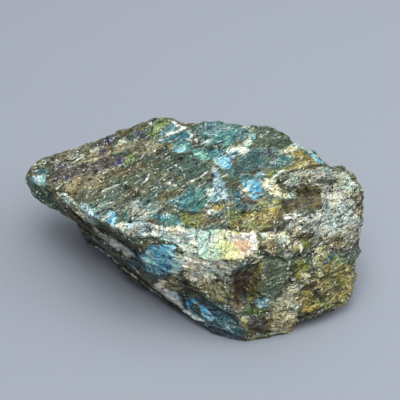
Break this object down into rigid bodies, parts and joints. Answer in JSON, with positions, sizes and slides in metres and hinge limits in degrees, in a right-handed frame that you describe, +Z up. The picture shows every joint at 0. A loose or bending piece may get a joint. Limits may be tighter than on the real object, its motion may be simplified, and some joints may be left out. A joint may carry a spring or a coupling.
{
  "type": "rough labradorite chunk",
  "caption": "Rough chunk of cleaved labradorite, blunt at one end and pointed at the other, with blue, teal and gold flashes, lying on a flat break.",
  "frame": {"origin": "on the resting surface, under the middle of the stone's box", "axes": "+X along the stone towards its blunt end, +Y towards its far rim, away from the broad front, +Z up"},
  "size_m": [0.1198, 0.0788, 0.0405],
  "materials": {
    "labradorite": "broken, glassy in flat patches and grainy elsewhere"
  },
  "bodies": {
    "root": {"labradorite_chunk": "labradorite"}
  },
  "joints": []
}
